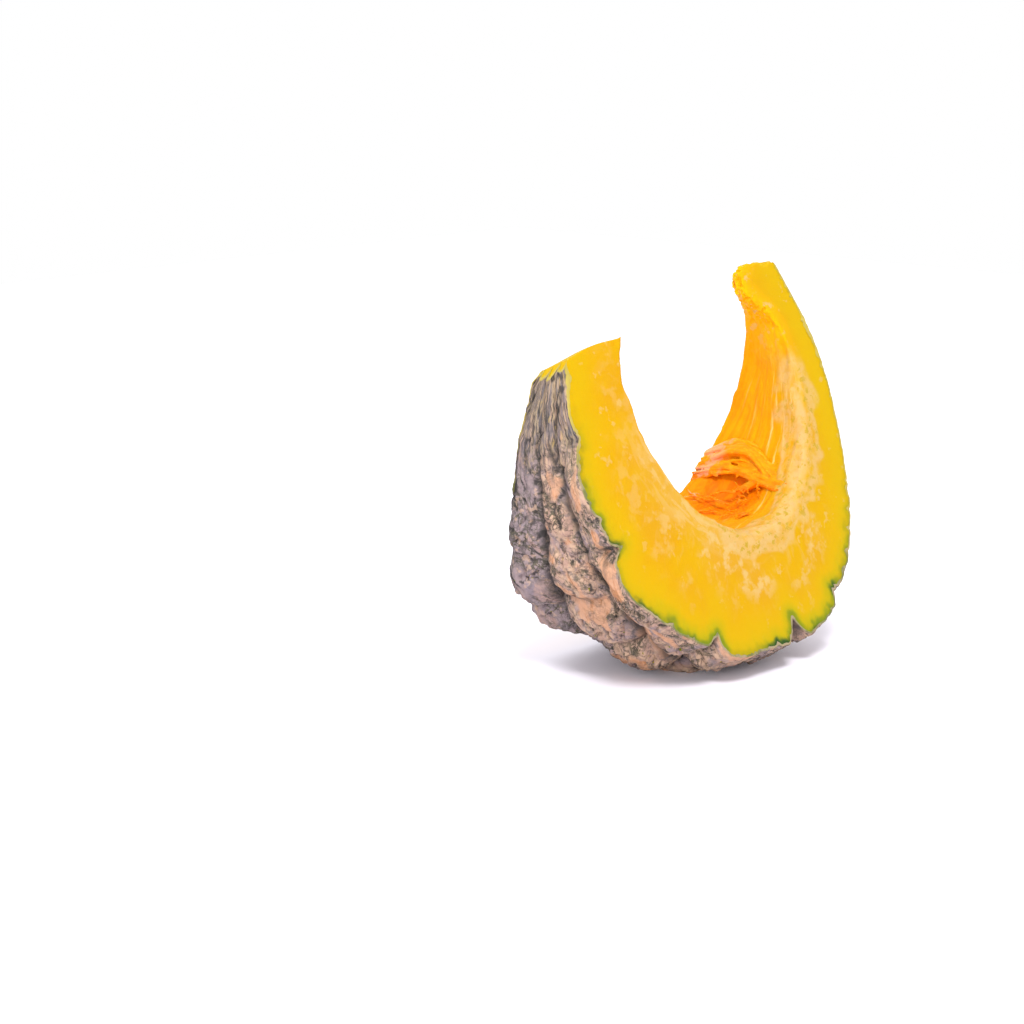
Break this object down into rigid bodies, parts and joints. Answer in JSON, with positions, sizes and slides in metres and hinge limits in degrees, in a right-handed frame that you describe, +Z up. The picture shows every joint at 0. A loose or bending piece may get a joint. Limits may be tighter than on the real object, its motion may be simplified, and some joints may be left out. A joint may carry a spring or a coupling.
{
  "type": "kabocha squash slice",
  "caption": "C-shaped slice of a ribbed, lumpy kabocha squash, cut from stem end to blossom end with its seeds scooped out, standing on its rind",
  "frame": {"origin": "on the floor plane, under the centre of the bounding box", "axes": "X runs along the squash's own axis, from the blossom-end horn on the -X side to the taller stem-end horn on the +X side. Y runs across the slice, from the flat front cut face at -Y to the back cut face at +Y. Z is up, from the rind that the slice stands on to the tips of the horns."},
  "size_m": [0.1495, 0.0783, 0.1422],
  "materials": {
    "flesh": "moist cut flesh, soft sheen",
    "rind": "dull, warty, mottled skin"
  },
  "bodies": {
    "root": {"squash_slice": "flesh"}
  },
  "joints": []
}
